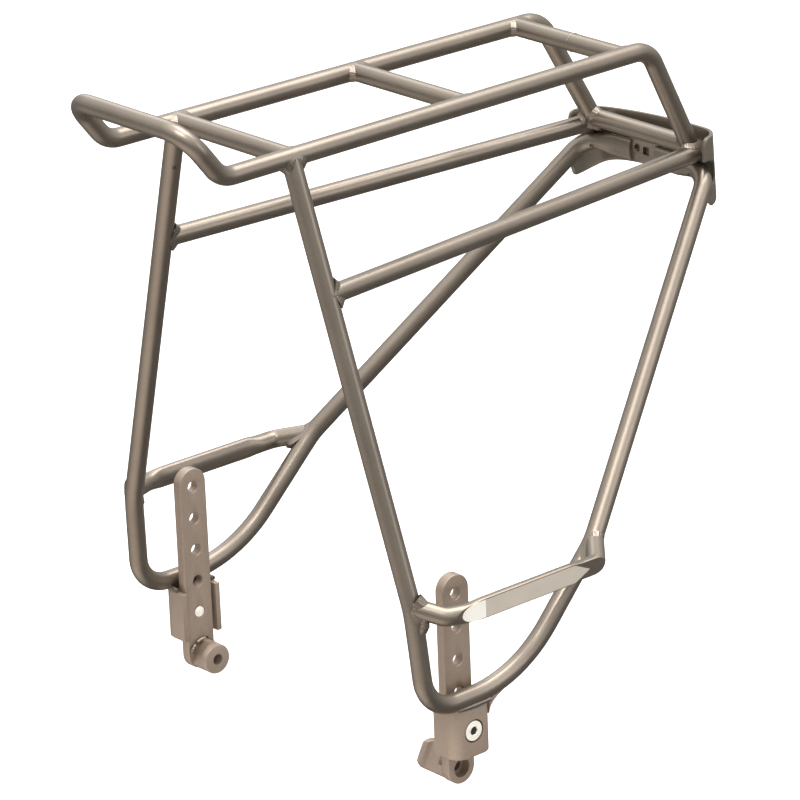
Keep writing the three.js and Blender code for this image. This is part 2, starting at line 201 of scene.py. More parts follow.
# How far a fillet reaches from its joint: WELD_REACH, unless the joint has one of its own.
WELD_REACH = 2.4
OWN_WELD_REACH = {
    "leg_top": 3.6,
    "rail_front": 3.4,
    "post_foot": 2.8,
    "brace_front": 3.6,
    "brace_rear": 3,
}
WELD_SINK = 0.12
SADDLE_START = 30
FILLET_STEPS = 6
FILLET_ROOT = 0.9
FILLET_CROWN = 0.3
FILLET_HOLLOW = 0.75
FILLET_LEAST_RISE = 0.35
FILLET_SWELL = 0.12
BEAD_SIDES = 12
BEAD_STEP = 0.45
BEAD_RIPPLE = 0.05
BEAD_SWELL = 0.14
RIPPLE_PITCH = 1.5
RIPPLE_DEPTH = 0.2
SWELL_LENGTH = 2.9
# The way the deck's rails run at the crossbars, and the way the leg runs at the brace's front end.
RAIL_AXIS = Vector((-0.012, 1, 0))
LEG_AXIS = Vector((0.02, 0.05, -1))
# The bead under each brace's front end: x, y and height above the brace.
BRACE_HEEL = ((119.5, -31.5, 0.8), (121, -30.5, -1.7), (120.5, -30.3, -4.7), (119, -31.5, -8.2))
BRACE_HEEL_BEAD = 2.9
SEAM_X = 4
SEAM_BEAD = 0.5
SPACER_BEAD = 1.15
BRACKET_SIDE_BEAD = 1.5
BRACKET_END_BEAD = 1.3

# ---- materials -----------------------------------------------------------------------


def feed(tree, socket, value):
    """Links a socket to another one, or sets it to a plain value."""
    if isinstance(value, bpy.types.NodeSocket):
        tree.links.new(value, socket)
    else:
        socket.default_value = value


def add_node(tree, kind, inputs=None, **settings):
    """A new node with its settings made and its inputs fed."""
    node = tree.nodes.new(kind)
    for key, value in settings.items():
        setattr(node, key, value)
    for key, value in (inputs or {}).items():
        feed(tree, node.inputs[key], value)
    return node


class Nodes:
    """A thin wrapper that makes a node material readable."""

    def __init__(self, name):
        self.material = bpy.data.materials.new(name)
        self.material.use_nodes = True
        self.tree = self.material.node_tree
        self.shader = self.tree.nodes["Principled BSDF"]
        self.place = self.tree.nodes.new("ShaderNodeTexCoord").outputs["Object"]

    def add(self, kind, inputs, **settings):
        return add_node(self.tree, kind, inputs, **settings)

    def surface(self, **values):
        for key, value in values.items():
            feed(self.tree, self.shader.inputs[key.replace("_", " ")], value)

    def noise(self, scale, detail):
        inputs = {"Vector": self.place, "Scale": scale, "Detail": detail}
        return self.add("ShaderNodeTexNoise", inputs).outputs[0]

    def ramp(self, value, low, high, at=(0.3, 0.7)):
        ramp = self.add("ShaderNodeValToRGB", {"Fac": value})
        for element, position, colour in zip(ramp.color_ramp.elements, at, (low, high)):
            element.position = position
            element.color = colour
        return ramp.outputs[0]

    def spread(self, value, low, high):
        return self.add("ShaderNodeMapRange", {"Value": value, "To Min": low, "To Max": high}).outputs[0]

    def tinted(self, colour, tint):
        inputs = {"Fac": 1.0, "Color1": colour, "Color2": tint}
        return self.add("ShaderNodeMixRGB", inputs, blend_type="MULTIPLY").outputs[0]

    def bump(self, height, distance, strength, normal=None):
        inputs = {"Height": height, "Distance": distance, "Strength": strength}
        if normal:
            inputs["Normal"] = normal
        return self.add("ShaderNodeBump", inputs).outputs[0]


def shade(colour, factor):
    """A colour made lighter or darker, as the four numbers that a socket takes."""
    return (*(channel * factor for channel in colour), 1)


def lacquer(name, colour, roughness, metallic, coat):
    """Metallic lacquer: fine flakes, slow mottling and a faint orange-peel surface."""
    nodes = Nodes(name)
    cloud = nodes.noise(28, 4)
    flake = nodes.noise(2600, 2)
    base = nodes.ramp(cloud, shade(colour, 0.93), shade(colour, 1.07))
    spark = nodes.ramp(flake, (0.86, 0.86, 0.86, 1), (1.1, 1.09, 1.07, 1), (0.35, 0.65))
    peel = nodes.bump(nodes.noise(420, 2), 0.00012, 0.35)
    grain = nodes.bump(flake, 0.00002, 0.5, peel)
    nodes.surface(Base_Color=nodes.tinted(base, spark), Metallic=metallic, Normal=grain)
    nodes.surface(Roughness=nodes.spread(nodes.noise(90, 4), *roughness))
    nodes.surface(Coat_Weight=coat, Coat_Roughness=0.12, IOR=1.5)
    return nodes.material


def plated(name, colour, axis_z):
    """Bright zinc with the fine rings that a lathe leaves round the bolt's own axis."""
    nodes = Nodes(name)
    from_axis = {"Vector": nodes.place, "Location": (0, 0, -axis_z * MM)}
    moved = nodes.add("ShaderNodeMapping", from_axis)
    rings = nodes.add(
        "ShaderNodeTexWave",
        {"Vector": moved.outputs[0], "Scale": 900, "Distortion": 0.6},
        wave_type="RINGS",
        rings_direction="X",
    )
    stain = nodes.noise(260, 4)
    tint = nodes.ramp(stain, shade(colour, 0.86), shade(colour, 1.02))
    turning = nodes.bump(rings.outputs[1], 0.00003, 0.5)
    nodes.surface(Base_Color=tint, Metallic=0.4, Normal=turning)
    nodes.surface(Roughness=nodes.spread(stain, 0.34, 0.5))
    return nodes.material


def film(name, colour):
    """A thin printed film: satin, faintly mottled, with a fine grain of ink dots."""
    nodes = Nodes(name)
    ink = nodes.noise(1500, 2)
    cloud = nodes.noise(60, 3)
    tint = nodes.ramp(cloud, shade(colour, 0.95), shade(colour, 1.03))
    dots = nodes.ramp(ink, (0.95, 0.95, 0.95, 1), (1, 1, 1, 1))
    nodes.surface(Base_Color=nodes.tinted(tint, dots), Metallic=0.15)
    nodes.surface(Roughness=nodes.spread(cloud, 0.3, 0.42), Normal=nodes.bump(ink, 0.00001, 0.4))
    return nodes.material


FRAME_LACQUER = lacquer("frame_lacquer", (0.275, 0.232, 0.192), (0.27, 0.4), 0.9, 0.35)
FOOT_LACQUER = lacquer("foot_lacquer", (0.38, 0.298, 0.24), (0.4, 0.52), 0.6, 0.15)
SHIELD_LACQUER = lacquer("shield_lacquer", (0.19, 0.165, 0.13), (0.3, 0.44), 0.7, 0.2)
ZINC = plated("zinc", (0.97, 0.92, 0.82), FIRST_HOLE_Z)
# Painted shade: near-black lacquer for the bottom of the bolt's socket and for the gap round its head.
PAINTED_SHADE_BLACK = lacquer("painted_shade_black", (0.035, 0.032, 0.028), (0.5, 0.65), 0.4, 0)
PANEL_FILM = film("panel_film", (0.42, 0.375, 0.32))
PANEL_TIP = film("panel_tip", (0.70, 0.67, 0.615))

# ---- making pieces -------------------------------------------------------------------


def new_object(name, verts, faces, matrix=None):
    """An object from points in millimetres; its faces are turned back if the matrix mirrors them."""
    mesh = bpy.data.meshes.new(name)
    flip = matrix is not None and matrix.determinant() < 0
    points = [tuple((matrix @ v if matrix is not None else v) * MM) for v in verts]
    mesh.from_pydata(points, [], [tuple(reversed(f)) if flip else tuple(f) for f in faces])
    mesh.update()
    piece = bpy.data.objects.new(name, mesh)
    bpy.context.scene.collection.objects.link(piece)
    return piece


def finish_piece(piece, body, material, replaced=(), smooth_angle=40):
    """Smooth shading below the angle, the material, and the piece's place in the frame."""
    piece.data.materials.clear()
    piece.data.materials.append(material)
    piece.data.shade_smooth()
    for edge in piece.data.edges:
        edge.use_edge_sharp = False
    piece.data.set_sharp_from_angle(angle=math.radians(smooth_angle))
    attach(piece, body)
    if replaced:
        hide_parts(*replaced)


def apply_modifiers(piece):
    graph = bpy.context.evaluated_depsgraph_get()
    mesh = bpy.data.meshes.new_from_object(piece.evaluated_get(graph))
    piece.modifiers.clear()
    piece.data = mesh


def cut(piece, cutters):
    """Takes each cutter out of the piece and deletes the cutter."""
    for cutter in cutters:
        modifier = piece.modifiers.new("cut", "BOOLEAN")
        modifier.object = cutter
        modifier.operation = "DIFFERENCE"
        modifier.solver = "EXACT"
    apply_modifiers(piece)
    for cutter in cutters:
        bpy.data.objects.remove(cutter)


def bevel(piece, width, segments, angle=35):
    """Rounds every edge that is sharper than the angle."""
    modifier = piece.modifiers.new("bevel", "BEVEL")
    modifier.width = width * MM
    modifier.segments = segments
    modifier.limit_method = "ANGLE"
    modifier.angle_limit = math.radians(angle)
    modifier.use_clamp_overlap = True
    apply_modifiers(piece)


def to_side(piece, side):
    """Makes a piece that was cut on the left into its mirror image when it is for the right."""
    if side == "right":
        piece.data.transform(RIGHT.to_4x4())
        piece.data.flip_normals()


# ---- paths and sweeps ----------------------------------------------------------------


def off_axis(vector, axis):
    """What is left of a vector once its share along a unit axis is taken out."""
    return vector - axis * vector.dot(axis)


def clamped(share):
    return min(max(share, 0), 1)


def eased(share):
    """A share between 0 and 1 that starts and stops gently."""
    share = clamped(share)
    return share * share * (3 - 2 * share)


def rounded(route):
    """Points along a route of (corner, bend radius) pairs; the two ends have no bend."""
    points = [route[0][0]]
    for (before, _), (corner, radius), (after, _) in zip(route, route[1:], route[2:]):
        arriving = (corner - before).normalized()
        leaving = (after - corner).normalized()
        turn = arriving.angle(leaving)
        start = corner - arriving * (radius * math.tan(turn / 2))
        inward = off_axis(leaving, arriving).normalized()
        centre = start + inward * radius
        steps = max(3, math.ceil(turn / BEND_STEP))
        for i in range(steps + 1):
            angle = turn * i / steps
            ahead = arriving * (radius * math.sin(angle))
            points.append(centre - inward * (radius * math.cos(angle)) + ahead)
    points.append(route[-1][0])
    return points


def subdivided(points, longest):
    """The same line with no step longer than the given length."""
    finer = [points[0]]
    for a, b in zip(points, points[1:]):
        count = max(1, math.ceil((b - a).length / longest))
        finer += [a.lerp(b, i / count) for i in range(1, count + 1)]
    return finer


def tangents(points, closed):
    """The line's unit direction at each of its points."""
    last = len(points) - 1
    result = []
    for i in range(len(points)):
        before = points[i - 1] if closed or i > 0 else points[0]
        after = points[(i + 1) % len(points)] if closed or i < last else points[last]
        result.append((after - before).normalized())
    return result


def ring_faces(rows, sides, closed=True):
    """Quads that join each ring of points to the next one, and the last to the first if closed."""
    faces = []
    for i in range(rows if closed else rows - 1):
        j = (i + 1) % rows
        for k in range(sides):
            m = (k + 1) % sides
            faces.append((i * sides + k, i * sides + m, j * sides + m, j * sides + k))
    return faces


def sweep(points, radius, sides=TUBE_SIDES, closed=False):
    """Vertices and faces of a round bar along the points; radius is a number or one per point."""
    runs = tangents(points, closed)
    seed = Vector((0, 0, 1)) if abs(runs[0].z) < 0.9 else Vector((0, 1, 0))
    across = runs[0].cross(seed).normalized()
    verts = []
    for i, (point, run) in enumerate(zip(points, runs)):
        across = off_axis(across, run).normalized()
        up = run.cross(across)
        size = radius[i] if isinstance(radius, list) else radius
        for k in range(sides):
            angle = 2 * math.pi * k / sides
            verts.append(point + (across * math.cos(angle) + up * math.sin(angle)) * size)
    faces = ring_faces(len(points), sides, closed)
    if not closed:
        faces.append(tuple(reversed(range(sides))))
        faces.append(tuple(range(len(verts) - sides, len(verts))))
    return verts, faces


def rod(name, start, end, radius, sides):
    verts, faces = sweep([start, end], radius, sides)
    return new_object(name, verts, faces)


def outline_plate(name, outline, holes, thickness, edge, place):
    """A flat plate with rounded edges; outline and holes are lists of 2D points."""
    curve = bpy.data.curves.new(name, "CURVE")
    curve.dimensions = "2D"
    curve.fill_mode = "BOTH"
    for loop in [outline, *holes]:
        spline = curve.splines.new("POLY")
        spline.points.add(len(loop) - 1)
        for point, (u, v) in zip(spline.points, loop):
            point.co = (u, v, 0, 1)
        spline.use_cyclic_u = True
    curve.extrude = thickness / 2 - edge
    curve.bevel_depth = edge
    curve.bevel_resolution = 2
    curve.offset = -edge
    holder = bpy.data.objects.new(name, curve)
    bpy.context.scene.collection.objects.link(holder)
    graph = bpy.context.evaluated_depsgraph_get()
    mesh = bpy.data.meshes.new_from_object(holder.evaluated_get(graph))
    bpy.data.objects.remove(holder)
    mesh.transform(Matrix.Scale(MM, 4) @ place)
    close_seams(mesh)
    piece = bpy.data.objects.new(name, mesh)
    bpy.context.scene.collection.objects.link(piece)
    return piece


def close_seams(mesh):
    """Merges points that fall together and turns every face outwards."""
    work = bmesh.new()
    work.from_mesh(mesh)
    bmesh.ops.remove_doubles(work, verts=work.verts, dist=1e-6)
    bmesh.ops.recalc_face_normals(work, faces=work.faces)
    work.to_mesh(mesh)
    work.free()


def circle(u, v, radius, count=40, start=0.0, turn=2 * math.pi):
    """Points on a circle or an arc; a full circle leaves out its repeated last point."""
    steps = count if turn >= 2 * math.pi else count - 1
    angles = [start + turn * i / steps for i in range(count)]
    return [(u + radius * math.cos(angle), v + radius * math.sin(angle)) for angle in angles]


def prism(name, outline, place, start, end):
    """A straight-sided solid: an outline in the place's first two axes, run along its third."""
    count = len(outline)
    verts = [place @ Vector((u, v, depth)) for depth in (start, end) for u, v in outline]
    faces = [(i, (i + 1) % count, count + (i + 1) % count, count + i) for i in range(count)]
    faces += [tuple(reversed(range(count))), tuple(range(count, 2 * count))]
    return new_object(name, verts, faces)


def slot_outline(u0, u1, v, radius, count=14):
    """A slot with round ends along the first axis."""
    far_end = circle(u1, v, radius, count, -math.pi / 2, math.pi)
    near_end = circle(u0, v, radius, count, math.pi / 2, math.pi)
    return far_end + near_end


def box_outline(u0, v0, u1, v1):
    return [(u0, v0), (u1, v0), (u1, v1), (u0, v1)]


# Turns an outline drawn in (y, z) so that its depth lies along X.
UPRIGHT = Matrix(((0, 0, 1, 0), (1, 0, 0, 0), (0, 1, 0, 0), (0, 0, 0, 1)))
# Turns an outline drawn in (x, z) so that its depth lies along -Y.
FRONTAL = Matrix(((1, 0, 0, 0), (0, 0, -1, 0), (0, 1, 0, 0), (0, 0, 0, 1)))


# ---- centrelines ---------------------------------------------------------------------


def deck_half_width(y):
    """Half the distance between the two rails at a place along the deck."""
    share = (y - FRONT_BEND_Y) / (REAR_BEND_Y - FRONT_BEND_Y)
    return FRONT_HALF_WIDTH + (REAR_HALF_WIDTH - FRONT_HALF_WIDTH) * share


HALF_DECK_ROUTE = [
    (POST_FOOT, 0),
    (POST_TOP, 17),
    (Vector((FRONT_HALF_WIDTH, FRONT_BEND_Y, DECK_HEIGHT)), 15),
    (Vector((FRONT_HALF_WIDTH, LOOP_Y, LOOP_HEIGHT)), 15),
]
DECK_LINE = rounded(HALF_DECK_ROUTE + [(RIGHT @ at, bend) for at, bend in reversed(HALF_DECK_ROUTE)])

LEG_LINE = rounded(
    [
        (LEG_TOP, 0),
        (LEG_KNEE, 60),
        (LEG_BOTTOM_FRONT, 20),
        (LEG_BOTTOM_REAR, 78),
        (LEG_REAR_KNEE, 40),
        (LEG_REAR_TOP, 15),
        (LEG_RUN_END, 0),
    ]
)

BRACE_LINE = rounded(
    [
        (BRACE_START, 0),
        (BRACE_FRONT_BEND, 7),
        (Vector((BRACE_X, BRACE_FRONT_Y, BRACE_Z)), 16),
        (BRACE_REAR_BEND, 9),
        (BRACE_END, 0),
    ]
)

# ---- frame tubes ---------------------------------------------------------------------


def vent(at, outward):
    """A cutter for a small drilled hole in a tube's wall."""
    return rod("vent", at - outward * 1.5, at + outward * 4, VENT_RADIUS, 20)


def build_deck():
    """The bent tube that makes both rails, the loop in front and the two posts behind."""
    verts, faces = sweep(DECK_LINE, TUBE_RADIUS)
    piece = new_object("deck_loop", verts, faces)
    post_run = (POST_TOP - POST_FOOT).normalized()
    for sign, height, facing in POST_VENTS:
        at = POST_FOOT + post_run * height
        outward = facing.normalized()
        cut(piece, [vent(Vector((at.x * sign, at.y, at.z)) + outward * TUBE_RADIUS, outward)])
    finish_piece(piece, "frame", FRAME_LACQUER, ["deck_loop_tube"])


def build_cross_tube(name, y, z, reach, node):
    """A straight tube from one side of the rack to the other."""
    verts, faces = sweep([Vector((-reach, y, z)), Vector((reach, y, z))], TUBE_RADIUS)
    finish_piece(new_object(name, verts, faces), "frame", FRAME_LACQUER, [node])


def build_lower_rail(side, matrix):
    """A straight rail that runs a little into the leg; the edge of its rear end is eased."""
    run = (RAIL_REAR - RAIL_FRONT).normalized()
    points = subdivided([RAIL_FRONT - run * RAIL_OVERRUN, RAIL_REAR], 8)
    radii = [TUBE_RADIUS] * len(points) + [TUBE_RADIUS - 0.6]
    verts, faces = sweep(points + [RAIL_REAR + run * 0.5], radii)
    piece = new_object(f"lower_rail_tube_{side}", verts, faces, matrix)
    finish_piece(piece, "frame", FRAME_LACQUER, [f"lower_rail_{side}"])


def press_end(verts):
    """Presses the leg's inner end flat: thinner along Y, and spread along Z."""
    for v in verts:
        if v.x < PRESS_START_X:
            share = eased((PRESS_START_X - v.x) / (PRESS_START_X - PRESS_FULL_X))
            v.y = LEG_RUN_END.y + (v.y - LEG_RUN_END.y) * (1 + (PRESS_THICKNESS - 1) * share)
            v.z = LEG_RUN_END.z + (v.z - LEG_RUN_END.z) * (1 + (PRESS_WIDTH - 1) * share)


def build_side_leg(side, matrix):
    """The leg with its pressed end and three drains; the left end also has a slot for the lamp."""
    verts, faces = sweep(subdivided(LEG_LINE, 6), TUBE_RADIUS)
    press_end(verts)
    piece = new_object(f"side_leg_tube_{side}", verts, faces, matrix)
    leg_run = (LEG_KNEE - LEG_TOP).normalized()
    forward_down = Vector((0, -0.75, -0.66))
    drains = [
        (LEG_TOP + leg_run * 27, Vector((-0.92, -0.4, 0))),
        (LEG_BOTTOM_FRONT + Vector((0, 3.2, 0.6)), forward_down),
        (Vector((39, LEG_RUN_END.y - 0.2, LEG_RUN_END.z - 0.4)), forward_down),
    ]
    cutters = [vent(matrix @ (at + out * TUBE_RADIUS), matrix @ out) for at, out in drains]
    if side == "left":
        lamp_slot = slot_outline(*LAMP_SLOT_X, LAMP_SLOT_Z, LAMP_SLOT_RADIUS)
        cutters.append(prism("lamp_slot", lamp_slot, FRONTAL, -LEG_RUN_END.y - 6, -LEG_RUN_END.y + 6))
    cut(piece, cutters)
    finish_piece(piece, "frame", FRAME_LACQUER, [f"side_leg_{side}"])


def build_side_brace(side):
    """The brace: eased into an upright oval along its straight run, with its outside milled flat."""
    verts, faces = sweep(subdivided(BRACE_LINE, 2.5), TUBE_RADIUS)
    for v in verts:
        share = eased(min(v.y - BRACE_FRONT_Y - 1, BRACE_REAR_Y + 1 - v.y) / BRACE_TAPER)
        if v.x < BRACE_X:
            v.x = BRACE_X + (v.x - BRACE_X) * (1 - BRACE_SQUEEZE * share)
        v.z = BRACE_Z + (v.z - BRACE_Z) * (1 + BRACE_GROWTH * share)
    piece = new_object(f"side_brace_tube_{side}", verts, faces)
    half = 4 * TUBE_RADIUS
    slab = box_outline(BRACE_FRONT_Y - half, BRACE_Z - half, BRACE_REAR_Y + half, BRACE_Z + half)
    cut(piece, [prism("milling", slab, UPRIGHT, BRACE_FLAT_X, BRACE_FLAT_X + half)])
    to_side(piece, side)
    finish_piece(piece, "frame", FRAME_LACQUER, [f"side_brace_{side}"])
    build_panel(side)


def build_panel(side):
    """The blank printed panel on the brace's flat: a round front tip, then a pointed rear end."""
    start, end = BRACE_FRONT_Y - PANEL_OVERLAP, BRACE_REAR_Y + PANEL_OVERLAP

    def half_height(y):
        front = clamped((y - start) / (PANEL_TIP_LENGTH * PANEL_TIP_ROUND))
        rear = clamped((end - y) / PANEL_POINT_LENGTH)
        return PANEL_HALF_HEIGHT * min(math.sqrt(1 - (1 - front) ** 2), rear) + PANEL_BLUNTNESS

    def strip(name, y0, y1, material):
        count = 28
        stations = [y0 + (y1 - y0) * i / count for i in range(count + 1)]
        outline = [(y, BRACE_Z - half_height(y)) for y in stations]
        outline += [(y, BRACE_Z + half_height(y)) for y in reversed(stations)]
        outer_x = BRACE_FLAT_X + PANEL_THICKNESS
        piece = prism(f"{name}_{side}", outline, UPRIGHT, BRACE_FLAT_X + 0.02, outer_x)
        to_side(piece, side)
        finish_piece(piece, "frame", material)

    strip("brace_panel_front_tip", start, start + PANEL_TIP_LENGTH, PANEL_TIP)
    strip("brace_panel", start + PANEL_TIP_LENGTH + 0.1, end, PANEL_FILM)


# ---- welds ---------------------------------------------------------------------------

dice = random.Random(9)


def saddle(foot, run, main_at, main_run, count=120):
    """The line where a branch tube meets a main tube, seen from the branch's side."""
    across = run.orthogonal().normalized()
    up = run.cross(across)
    branch_part = off_axis(run, main_run)
    points = []
    for i in range(count):
        angle = 2 * math.pi * i / count
        outward = across * math.cos(angle) + up * math.sin(angle)
        start = foot - run * SADDLE_START + outward * TUBE_RADIUS
        offset = off_axis(start - main_at, main_run)
        a = branch_part.dot(branch_part)
        b = 2 * branch_part.dot(offset)
        c = offset.dot(offset) - TUBE_RADIUS**2
        inside = max(b * b - 4 * a * c, 0)
        points.append(start + run * ((-b - math.sqrt(inside)) / (2 * a)))
    return points


def bead(name, points, radius, closed=False, body="frame"):
    """A weld bead with the ripples that the torch leaves."""
    points = subdivided(points + points[:1], BEAD_STEP)[:-1] if closed else subdivided(points, BEAD_STEP)
    phase = dice.uniform(0, 6)
    travelled = 0.0
    radii = []
    for i, point in enumerate(points):
        travelled += (point - points[i - 1]).length if i else 0
        ripple = 1 + BEAD_RIPPLE * math.sin(2 * math.pi * travelled / RIPPLE_PITCH + phase)
        swell = 1 + BEAD_SWELL * math.sin(travelled / SWELL_LENGTH + phase * 2)
        radii.append(radius * ripple * swell)
    verts, faces = sweep(points, radii, BEAD_SIDES, closed)
    finish_piece(new_object(name, verts, faces), body, FRAME_LACQUER, smooth_angle=70)


def fillet(name, foot, run, main_at, main_run, size, matrix):
    """A fillet weld all round a branch: it fills the corner between the two tubes' surfaces."""
    run, main_run = run.normalized(), main_run.normalized()
    line = saddle(foot, run, main_at, main_run)
    phase = dice.uniform(0, 6)
    travelled = 0.0
    verts = []
    for i, point in enumerate(line):
        travelled += (point - line[i - 1]).length if i else 0
        branch_normal = off_axis(point - foot, run).normalized()
        main_normal = off_axis(point - main_at, main_run).normalized()
        outward = (branch_normal + main_normal).normalized()
        along_main = off_axis(branch_normal, main_normal)
        reach = size * (1 + FILLET_SWELL * math.sin(travelled / SWELL_LENGTH + phase))
        ripple = RIPPLE_DEPTH * math.sin(2 * math.pi * travelled / RIPPLE_PITCH + phase)
        rise = reach * max(along_main.length, FILLET_LEAST_RISE)
        on_branch = point - run * rise - branch_normal * WELD_SINK
        on_main = point + along_main * reach - main_normal * WELD_SINK
        hollow = point.lerp((on_branch + on_main) / 2, FILLET_HOLLOW) + outward * (ripple + FILLET_CROWN)
        verts.append(point - outward * FILLET_ROOT)
        for k in range(FILLET_STEPS + 1):
            t = k / FILLET_STEPS
            verts.append(on_branch * (1 - t) ** 2 + hollow * (2 * t * (1 - t)) + on_main * t**2)
    piece = new_object(name, verts, ring_faces(len(line), FILLET_STEPS + 2), matrix)
    close_seams(piece.data)
    finish_piece(piece, "frame", FRAME_LACQUER, smooth_angle=60)


def weld_pair(joint, foot, run, main_at, main_run):
    """The same joint's fillets on both sides of the rack, each with its own ripples."""
    size = OWN_WELD_REACH.get(joint, WELD_REACH)
    for side, matrix in SIDES:
        fillet(f"weld_{joint}_{side}", foot, run, main_at, main_run, size, matrix)


def build_welds():
    """Every weld between two tubes: each call gives the branch's foot and run, then the main tube's."""
    sideways = Vector((1, 0, 0))
    for place, y in BAR_Y.items():
        end = Vector((deck_half_width(y), y, DECK_HEIGHT))
        weld_pair(f"{place}_bar", end, sideways, end, RAIL_AXIS)
    leg_run = (LEG_TOP - LEG_KNEE).normalized()
    weld_pair("leg_top", LEG_TOP, leg_run, LEG_TOP, Vector((0, 1, 0)))
    rail_run = (RAIL_FRONT - RAIL_REAR).normalized()
    weld_pair("rail_front", RAIL_FRONT, rail_run, RAIL_FRONT, leg_run)
    post_run = (POST_FOOT - POST_TOP).normalized()
    weld_pair("post_foot", POST_FOOT, post_run, RAIL_REAR, rail_run)
    tube_end = Vector((REAR_TUBE_REACH, REAR_TUBE_Y, REAR_TUBE_Z))
    weld_pair("rear_tube", tube_end, sideways, tube_end, post_run)
    front_run = BRACE_START - BRACE_FRONT_BEND
    weld_pair("brace_front", BRACE_START, front_run, BRACE_START, LEG_AXIS)
    heel = [Vector((x, y, BRACE_Z + rise)) for x, y, rise in BRACE_HEEL]
    for side, matrix in SIDES:
        bead(f"weld_brace_heel_{side}", [matrix @ p for p in heel], BRACE_HEEL_BEAD)
    rear_run = BRACE_END - BRACE_REAR_BEND
    weld_pair("brace_rear", BRACE_END, rear_run, LEG_REAR_KNEE, LEG_REAR_TOP - LEG_REAR_KNEE)
    around = circle(BAR_Y["rear"], DECK_HEIGHT, TUBE_RADIUS - 0.2, 60)
    bead("weld_rear_bar_seam", [Vector((SEAM_X, y, z)) for y, z in around], SEAM_BEAD, True)


# ---- feet, brackets and bolts --------------------------------------------------------


def build_foot_plate(side):
    """The height bar: flat, with round ends, five holes and a counterbored eye."""
    outline = circle(0, FOOT_TOP_Z, FOOT_HALF_WIDTH, 32, 0, math.pi)
    outline += circle(0, 0, FOOT_HALF_WIDTH, 32, math.pi, math.pi)
    holes = [circle(0, FIRST_HOLE_Z + i * HOLE_PITCH, HOLE_RADIUS) for i in range(HOLE_COUNT)]
    holes.append(circle(0, 0, EYE_RADIUS))
    middle_x = (FOOT_INNER_X + FOOT_OUTER_X) / 2
    thickness = FOOT_OUTER_X - FOOT_INNER_X
    place = Matrix.Translation((middle_x, 0, 0)) @ UPRIGHT
    piece = outline_plate(f"height_bar_{side}", outline, holes, thickness, 0.5, place)
    start = Vector((FOOT_OUTER_X - COUNTERBORE_DEPTH, 0, 0))
    cut(piece, [rod("counterbore", start, Vector((FOOT_OUTER_X + 2, 0, 0)), COUNTERBORE_RADIUS, 48)])
    to_side(piece, side)
    finish_piece(piece, f"foot_{side}", FOOT_LACQUER, [f"foot_plate_{side}"], 32)


def turned_ring(radius, x, z, count):
    """A ring of points about an axis that runs along X at height z."""
    angles = [2 * math.pi * k / count for k in range(count)]
    return [Vector((x, radius * math.cos(angle), z + radius * math.sin(angle))) for angle in angles]


def lathe(name, profile, z=FIRST_HOLE_Z, matrix=None, count=48):
    """A closed solid of revolution along X; the profile is (radius, x) pairs from axis to axis."""
    verts = [Vector((profile[0][1], 0, z))]
    faces = []
    inner = profile[1:-1]
    for radius, x in inner:
        verts += turned_ring(radius, x, z, count)
    verts.append(Vector((profile[-1][1], 0, z)))
    last = len(verts) - 1
    for k in range(count):
        m = (k + 1) % count
        faces.append((0, 1 + m, 1 + k))
        for i in range(len(inner) - 1):
            a, b = 1 + i * count, 1 + (i + 1) * count
            faces.append((a + k, a + m, b + m, b + k))
        a = 1 + (len(inner) - 1) * count
        faces.append((a + k, a + m, last))
    return new_object(name, verts, faces, matrix)


def build_ring(name, profile, matrix, material, count=48):
    """A ring about the bolt's axis: a closed profile of (radius, x) pairs clear of the axis."""
    verts = []
    for radius, x in profile:
        verts += turned_ring(radius, x, FIRST_HOLE_Z, count)
    piece = new_object(name, verts, ring_faces(len(profile), count), matrix)
    close_seams(piece.data)
    finish_piece(piece, "frame", material, smooth_angle=32)


def milled_notch(inner_x, collar_flat, matrix):
    """What a cutter takes off the spacer's upper front: a flat on the collar, deeper behind it."""
    outward = Vector((0, -math.cos(NOTCH_TURN), math.sin(NOTCH_TURN)))
    along = Vector((0, math.sin(NOTCH_TURN), math.cos(NOTCH_TURN)))
    outer_x = FOOT_INNER_X + 2
    profile = [(inner_x - 1, collar_flat), (inner_x + COLLAR_LENGTH, collar_flat)]
    profile += [(inner_x + COLLAR_LENGTH + 1.5, NOTCH_FLAT), (outer_x, NOTCH_FLAT)]
    profile += [(outer_x, 2 * STANDOFF_RADIUS), (inner_x - 1, 2 * STANDOFF_RADIUS)]
    reach = 1.2 * STANDOFF_RADIUS
    verts = []
    for x, height in profile:
        verts += [Vector((x, 0, 0)) + outward * height + along * across for across in (-reach, reach)]
    last = len(verts)
    faces = [(i, i + 1, (i + 3) % last, (i + 2) % last) for i in range(0, last, 2)]
    faces += [tuple(range(last - 2, -1, -2)), tuple(range(1, last, 2))]
    notch = new_object("notch", verts, faces, matrix)
    close_seams(notch.data)
    return notch


def build_standoff(side, matrix):
    """The round spacer on the eye's inner face, bored through and notched, with its three beads."""
    inner_x = STANDOFF_INNER_X[side]
    outer_x = FOOT_INNER_X - 0.02
    r, edge = STANDOFF_RADIUS, 0.8
    profile = [(0, inner_x), (r - edge, inner_x), (r - 0.25, inner_x + 0.25), (r, inner_x + edge)]
    profile += [(r, outer_x - 0.5), (r - 0.5, outer_x), (0, outer_x)]
    piece = lathe(f"spacer_{side}", profile, 0, matrix, 64)
    bore_ends = [matrix @ Vector((x, 0, 0)) for x in (inner_x - 2, outer_x + 2)]
    bore = rod("bore", *bore_ends, EYE_RADIUS, 40)
    notch = milled_notch(inner_x, COLLAR_FLAT[side], matrix)
    cut(piece, [bore, notch])
    bevel(piece, 0.25, 2)
    finish_piece(piece, f"foot_{side}", FOOT_LACQUER, [f"standoff_{side}"], 32)
    for turn in range(3):
        start = math.pi * (0.18 + 0.27 * turn)
        arc = circle(0, 0, r + 0.1, 9, start, math.pi * 0.2)
        points = [matrix @ Vector((outer_x - 0.9 - 0.35 * turn, y, z)) for y, z in arc]
        bead(f"weld_spacer_{side}_{turn}", points, SPACER_BEAD, body=f"foot_{side}")


